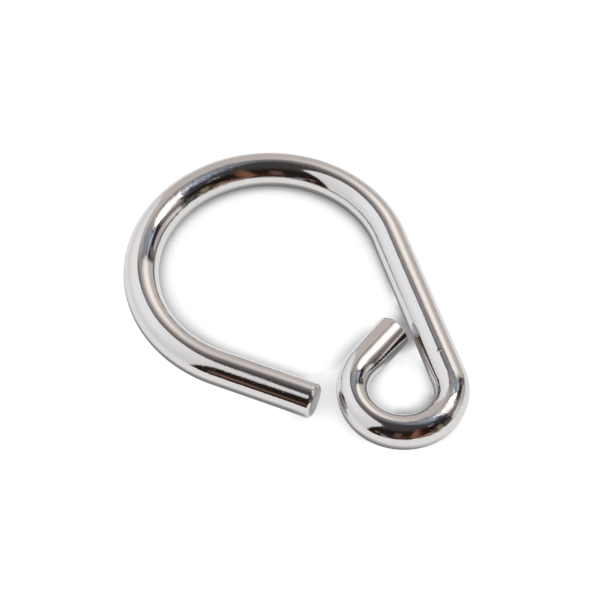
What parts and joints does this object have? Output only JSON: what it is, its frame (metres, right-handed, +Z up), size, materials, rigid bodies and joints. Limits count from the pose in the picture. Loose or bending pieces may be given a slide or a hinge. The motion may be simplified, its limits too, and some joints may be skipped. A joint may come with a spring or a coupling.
{
  "type": "bent rod line ring",
  "caption": "Open ring, straight leg and small eye bent in one piece from round polished stainless rod, for a line or anchor rode",
  "frame": {"origin": "under the middle of the outline, on the plane the piece lies on", "axes": "+X from the large ring's centre to the small eye's centre, +Z up, square to the plane that the rod is bent in"},
  "size_m": [0.1152, 0.0828, 0.01],
  "materials": {
    "polished_steel": "mirror-polished stainless steel"
  },
  "bodies": {
    "root": {"bent_rod": "polished_steel"}
  },
  "joints": []
}
